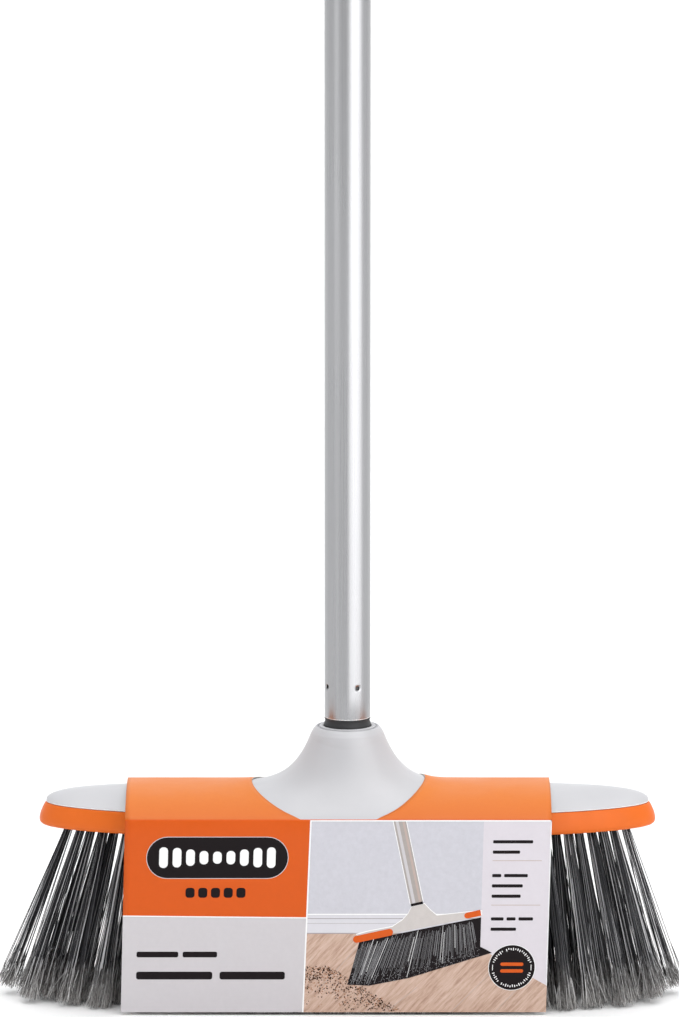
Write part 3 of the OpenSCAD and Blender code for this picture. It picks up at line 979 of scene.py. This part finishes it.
class Print:
    """Flat printed shapes on the sleeve's front, gathered into one piece for each ink.

    Shapes are given in millimetres from the panel's lower left corner.
    """

    def __init__(self):
        self.inks = {}

    def shape(self, ink, outline, layer=1):
        """A closed plate with the given outline."""
        points, faces = self.inks.setdefault(ink, ([], []))
        start, count = len(points), len(outline)
        places = [(card_x(a - SLEEVE_W / 2, CARD_FOOT + b), CARD_FOOT + b) for a, b in outline]
        for lift in (0.005, layer * LAYER):
            points += [(x, -CARD_FACE - lift, z) for x, z in places]
        below = [start + i for i in range(count)]
        above = [start + count + i for i in range(count)]
        faces += [tuple(above), tuple(reversed(below))]
        for i in range(count):
            k = (i + 1) % count
            faces.append((below[i], below[k], above[k], above[i]))

    def rectangle(self, ink, left, right, low, high, layer=1):
        self.shape(ink, [(left, low), (right, low), (right, high), (left, high)], layer)

    def pill(self, ink, left, right, low, high, radius, layer=1):
        """A rectangle with round corners."""
        outline = []
        corners = ((right, low, -90), (right, high, 0), (left, high, 90), (left, low, 180))
        for x, y, start in corners:
            cx = x - radius if x == right else x + radius
            cy = y - radius if y == high else y + radius
            for k in range(9):
                t = math.radians(start + 90 * k / 8)
                outline.append((cx + radius * math.cos(t), cy + radius * math.sin(t)))
        self.shape(ink, outline, layer)

    def disc(self, ink, a, b, radius, layer=1, count=72):
        ring = [math.radians(360 * i / count) for i in range(count)]
        self.shape(ink, [(a + radius * math.cos(t), b + radius * math.sin(t)) for t in ring], layer)

    def bar(self, ink, start, end, width, layer=1):
        """A straight stroke between two points."""
        along = Vector((end[0] - start[0], end[1] - start[1])).normalized()
        off = Vector((-along.y, along.x)) * width / 2
        self.shape(ink, [
            (start[0] - off.x, start[1] - off.y), (end[0] - off.x, end[1] - off.y),
            (end[0] + off.x, end[1] + off.y), (start[0] + off.x, start[1] + off.y),
        ], layer)

    def finish(self, label):
        for ink, (points, faces) in self.inks.items():
            add_mesh(f"{label}_{ink.name}", points, faces, "sleeve", [ink], 10)


def words(sheet, left, low, height, lengths, layer=2, gap=2.4):
    """Stand-in for a line of words: plain bars, one for each word."""
    for length in lengths:
        sheet.pill(INK_BLACK, left, left + length, low, low + height, height * 0.3, layer)
        left += length + gap


def between(start, end, share):
    """A point part of the way from start to end."""
    return tuple(a + (b - a) * share for a, b in zip(start, end))


def print_room(sheet, edge, right, top):
    """The picture's room: a wall, its skirting board and a board floor strewn with crumbs.

    edge gives the picture's left edge at a height.
    """
    random = np.random.RandomState(7)
    skirting_top, skirting_foot = 55.6, 44.5

    def strip(ink, low, high, layer):
        sheet.shape(ink, [(edge(low), low), (right, low), (right, high), (edge(high), high)], layer)

    strip(INK_WALL, skirting_foot, top, 1)
    strip(INK_TRIM, skirting_foot, skirting_top, 2)
    for b, height in ((skirting_foot - 0.2, 0.5), (skirting_foot + 5.6, 0.18), (skirting_top - 2.9, 0.4)):
        strip(INK_SHADE, b, b + height, 3)
    strip(INK_WHITE, skirting_top - 0.6, skirting_top, 3)
    sheet.shape(INK_WOOD, [
        (edge(0), 0), (SLEEVE_W, 0), (SLEEVE_W, 15), (right, 36), (right, skirting_foot),
        (edge(skirting_foot), skirting_foot),
    ])
    board_seams = [
        ((108, 12), (134, 42)), ((146, 0), (163, 14)), ((182, 0), (208, 27)), ((206, 0), (222, 17)),
    ]
    for start, end in board_seams:
        sheet.bar(INK_LINE, start, end, 0.28, 2)
    left = edge(0)
    for _ in range(900):
        a = left + random.uniform(0.6, 54)
        highest = 26 - max(0, a - left - 14) * 0.62
        b = highest - abs(random.normal(0, 8))
        if b < 0.8:
            continue
        size = random.uniform(0.16, 0.5)
        ink = INK_CRUMB if random.uniform() < 0.65 else INK_GRAIN
        turn = random.uniform(0, math.pi)
        reach = (size * math.cos(turn), size * math.sin(turn))
        sheet.bar(ink, (a - reach[0], b - reach[1]), (a + reach[0], b + reach[1]), size * 1.3, 3)


def print_broom(sheet, right, top):
    """The picture's broom: it leans over, with its head turned and cut off by the picture's edge."""
    random = np.random.RandomState(11)

    def handle_strip(ink, start, end, layer):
        """Part of the handle between two shares of its width, cut off level at the picture's top."""
        foot_left, foot_right = (158.2, 61), (164.9, 62.4)
        top_left, top_right = (147.4, top), (154.3, top)
        sheet.shape(ink, [
            between(foot_left, foot_right, start), between(foot_left, foot_right, end),
            between(top_left, top_right, end), between(top_left, top_right, start),
        ], layer)

    handle_strip(INK_WHITE, -0.06, 1.06, 3)
    handle_strip(INK_HANDLE, 0, 1, 4)
    handle_strip(INK_GREY, 0.16, 0.4, 5)
    handle_strip(INK_LINE, 0.7, 0.88, 5)
    sheet.bar(INK_BLACK, (158.4, 60.4), (165, 61.9), 1.5, 6)
    head = [
        (158.8, 59.6), (157, 55.6), (153.9, 52), (148.4, 48.2), (135.2, 45.6), (128.9, 43.8),
        (130.9, 40.8), (right, 54.4), (right, 57.2), (188.6, 56.4), (172.8, 54.6), (169.2, 57.6),
        (165.8, 61.2),
    ]
    sheet.shape(INK_WHITE, [(a + (a - 160) * 0.012, b + 0.45) for a, b in head], 4)
    sheet.shape(INK_BEIGE, head, 5)
    brush_top = ((130.6, 40), (right, 53.6))
    brush_foot = [(124.6, 15.6), (136.5, 15), (158.5, 19.4), (180.5, 26.4), (203.6, 33.6)]
    sheet.shape(INK_BLACK, [brush_top[0], *brush_foot, (200.5, 35.4), (right, 37), brush_top[1]], 6)

    def brush_end(share):
        """The point a share of the way along the brush's foot."""
        span = share * (len(brush_foot) - 1.001)
        return between(brush_foot[int(span)], brush_foot[int(span) + 1], span % 1)

    strands = 130
    for i in range(strands):
        share = (i + random.uniform(0, 1)) / strands
        start, end = between(*brush_top, share), brush_end(share)
        tip = between(start, end, random.uniform(0.6, 0.99))
        if tip[0] < right - 0.6:
            ink = INK_WHITE if random.uniform() < 0.1 else INK_STRAND
            root = between(start, end, random.uniform(0.01, 0.2))
            sheet.bar(ink, root, tip, random.uniform(0.08, 0.26), 7)
    for _ in range(420):
        share, down = random.uniform(0, 1), random.uniform(0.55, 1) ** 0.5
        spot = between(between(*brush_top, share), brush_end(share), down)
        if spot[0] < right - 0.6:
            sheet.disc(INK_STRAND, *spot, random.uniform(0.1, 0.26), 7, 6)
    for start, end, width in (((129, 41.2), (147, 45.2), 3.9), ((189.6, 54.6), (right - 0.3, 56.2), 3.3)):
        sheet.bar(INK_ORANGE, start, end, width, 8)
        sheet.disc(INK_ORANGE, *start, width / 2, 9, 24)
    sheet.disc(INK_ORANGE, 147, 45.2, 1.95, 9, 24)


def print_seal(sheet, a, b):
    """A round seal: short strokes round its rim where words would be, and two bars in its middle."""
    sheet.disc(INK_WHITE, a, b, 12.95, 8)
    sheet.disc(INK_BLACK, a, b, 12.65, 9)
    strokes = 52
    for i in range(strokes):
        turn = math.tau * (i + 0.5) / strokes
        # The strokes leave gaps at the sides, and one where a space between words would be
        if abs(math.sin(turn)) < 0.25 or i in (16, 33):
            continue
        reach = (9.6 + 0.3 * (i % 3), 11.2 - 0.25 * (i % 2))
        start, end = [(a + r * math.cos(turn), b + r * math.sin(turn)) for r in reach]
        sheet.bar(INK_WHITE, start, end, 0.5, 10)
    for side in (-1, 1):
        sheet.bar(INK_WHITE, (a + side * 10.6, b - 1.6), (a + side * 10.6, b + 1.6), 0.35, 10)
        sheet.pill(INK_ORANGE, a - 6.3, a + 6.3, b + 1.9 * side - 0.95, b + 1.9 * side + 0.95, 0.9, 10)


def print_front():
    """The sleeve's print: colour panels, a plain badge, bars for words, a picture and a round seal."""
    sheet = Print()
    picture_right = 197.2
    top = PANEL_H - 0.3

    def edge(height):
        """The line between the text panels and the picture, which isn't quite upright."""
        return 100.4 + 1.8 * height / top

    # The pale panel's top edge isn't quite level either
    low_left, low_right = (0, 54.3), (edge(53.3), 53.3)
    sheet.shape(INK_GREY, [(0, 0), (edge(0), 0), low_right, low_left])
    sheet.bar(INK_WHITE, low_left, low_right, 0.6, 3)
    print_room(sheet, edge, picture_right, top)
    print_broom(sheet, picture_right, top)
    sheet.shape(INK_COLUMN, [
        (picture_right, 36), (SLEEVE_W, 15), (SLEEVE_W, top), (picture_right, top),
    ], 2)
    sheet.bar(INK_WHITE, (edge(0), 0), (edge(top), top), 0.8, 4)
    sheet.rectangle(INK_WHITE, edge(top), SLEEVE_W, top - 0.7, top, 9)
    sheet.rectangle(INK_WHITE, SLEEVE_W - 0.5, SLEEVE_W, 15, top, 9)
    # Badge: a dark block with a row of plain upright strokes, like bristles
    sheet.pill(INK_GREY, 12.2, 90.4, 75.3, 98.9, 11.7, 2)
    sheet.pill(INK_BLACK, 12.55, 90.05, 75.65, 98.55, 11.4, 3)
    for i in range(9):
        a = 19.3 + i * 7.4
        reach = 4.6 + 1.2 * math.cos(i * math.pi / 4)
        sheet.pill(INK_WHITE, a, a + 4.8, 87.2 - reach, 87.2 + reach, 2.2, 4)
    words(sheet, 34.2, 64.6, 5.6, (5, 5, 5, 5, 5), gap=2)
    words(sheet, 8, 31, 3.2, (23, 19))
    words(sheet, 8, 18.5, 4.4, (42, 36), gap=4)
    column = 202.6
    for low, lengths in (
        (95.2, (22,)), (89.4, (15,)), (76.2, (5, 13)), (70.4, (17,)), (64.6, (16,)),
        (51.8, (7, 5, 8)), (46, (14,)),
    ):
        words(sheet, column, low, 1.8, lengths, 3, 1.6)
    for b in (85.3, 60.3):
        sheet.rectangle(INK_LINE, column, column + 27, b, b + 0.35, 3)
    print_seal(sheet, 214.9, 25.3)
    sheet.finish("sleeve_front")


# ---------- the studio ----------


def aim_light(name, light, place, aim, power):
    """Puts a light in the scene and turns it to a point."""
    light.energy = power
    lamp = bpy.data.objects.new(name, light)
    lamp.location = place
    lamp.rotation_euler = (Vector(aim) - Vector(place)).to_track_quat("-Z", "Y").to_euler()
    bpy.context.scene.collection.objects.link(lamp)
    return lamp


def softbox(name, place, aim, size, power):
    light = bpy.data.lights.new(name, "AREA")
    light.shape = "RECTANGLE"
    light.size, light.size_y = size
    return aim_light(name, light, place, aim, power)


def make_world():
    """Soft light from all round, dimmer from the front, where a photographer would stand."""
    world = bpy.data.worlds.new("studio")
    world.use_nodes = True
    tree = world.node_tree
    axes = tree.nodes.new("ShaderNodeSeparateXYZ")
    tree.links.new(tree.nodes.new("ShaderNodeTexCoord").outputs["Generated"], axes.inputs["Vector"])
    ramp = tree.nodes.new("ShaderNodeMapRange")
    set_inputs(ramp, {"From Min": -1, "From Max": 1, "To Min": 0.05, "To Max": 1.15})
    tree.links.new(axes.outputs["Y"], ramp.inputs["Value"])
    tree.links.new(ramp.outputs["Result"], tree.nodes["Background"].inputs["Strength"])
    set_inputs(tree.nodes["Background"], {"Color": (0.97, 0.985, 1, 1)})
    bpy.context.scene.world = world


def make_studio():
    floor = bpy.data.meshes.new("studio_floor")
    size = 30
    corners = [(-size, -size, 0), (size, -size, 0), (size, size, 0), (-size, size, 0)]
    floor.from_pydata(corners, [], [(0, 1, 2, 3)])
    floor.materials.append(studio_floor("studio_floor"))
    stage = bpy.data.objects.new("studio_floor", floor)
    stage.location.z = -0.0002
    bpy.context.scene.collection.objects.link(stage)
    make_world()
    # A very wide sun lights the floor evenly, so that the background stays plain
    sun = bpy.data.lights.new("ceiling", "SUN")
    sun.angle = math.radians(70)
    aim_light("ceiling", sun, (0.2, -0.5, 3), (0, 0, 0), 2.25)
    softbox("key", (2.5, -3.1, 1.1), (0, 0, 0.35), (2.6, 2.4), 43)
    softbox("fill", (-3.3, -2.3, 1.1), (0, 0, 0.35), (2, 2.4), 13)
    # Tall panels close by that show only in glossy things, for the long highlight down the tube
    distance, height = 0.55, 1.4
    for name, azimuth, width, power in (("glint", 27, 0.37, 2.3), ("glint_edge", 60, 0.27, 1.5)):
        turn = math.radians(azimuth)
        place = (distance * math.sin(turn), -distance * math.cos(turn), height / 2)
        panel = softbox(name, place, (0, 0, height / 2), (width, height), power)
        panel.visible_diffuse = False
        panel.visible_camera = False


def make_camera():
    """A long lens a little above the head, looking slightly down, as the handle runs out of view."""
    aim = Vector((-0.0044, 0, 0.275))
    elevation, distance = math.radians(9.9), 4.41
    camera = bpy.data.cameras.new("camera")
    camera.lens = 283
    camera.sensor_width = 36
    camera.clip_end = 100
    stand = bpy.data.objects.new("camera", camera)
    stand.location = aim + distance * Vector((0, -math.cos(elevation), math.sin(elevation)))
    stand.rotation_euler = (math.pi / 2 - elevation, 0, 0)
    bpy.context.scene.collection.objects.link(stand)
    bpy.context.scene.camera = stand
    bpy.context.scene.view_settings.view_transform = "Standard"


make_camera()
make_studio()
make_head_cover()
make_bumper("left_bumper_rubber", "left_bumper", -1)
make_bumper("right_bumper_rubber", "right_bumper", 1)
for row_number in range(1, 7):
    make_bristle_row(row_number)
    dress_cad(f"anchor_row_{row_number}", WIRE)
dress_cad("brush_block", BLOCK_GREY)
dress_cad("hang_cap", BLACK)
make_tube()
make_insert()
make_collar()
make_card()
print_front()
